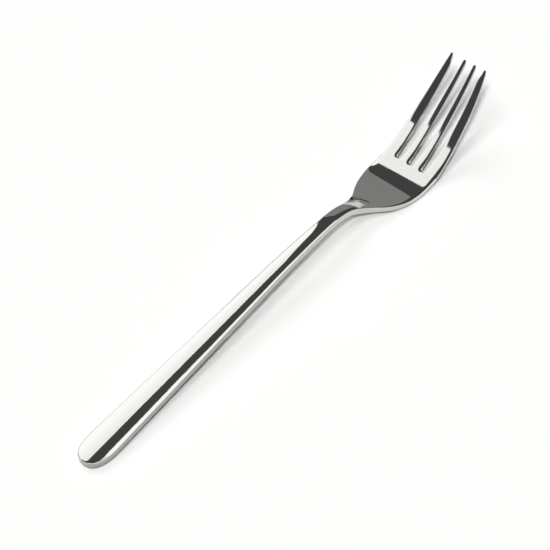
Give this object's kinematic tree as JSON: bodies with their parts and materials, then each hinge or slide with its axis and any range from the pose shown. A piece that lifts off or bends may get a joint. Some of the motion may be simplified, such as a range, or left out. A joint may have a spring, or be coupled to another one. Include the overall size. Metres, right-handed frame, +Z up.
{
  "type": "dessert fork",
  "caption": "Slim one-piece dessert fork with a tapered crowned handle, an arched neck, a flat palm and up-curved pointed tines, lying tines up.",
  "frame": {"origin": "on the table that the fork lies on, under the middle of its length", "axes": "+X along the fork from the free end of the handle to the tine tips, +Y across the head to the left, +Z up from the table"},
  "size_m": [0.1862, 0.021, 0.0276],
  "materials": {
    "steel": "mirror-polished stainless steel"
  },
  "bodies": {
    "root": {"handle": "steel", "stem": "steel", "neck": "steel", "palm": "steel", "tine_1": "steel", "tine_2": "steel", "tine_3": "steel", "tine_4": "steel"}
  },
  "joints": []
}
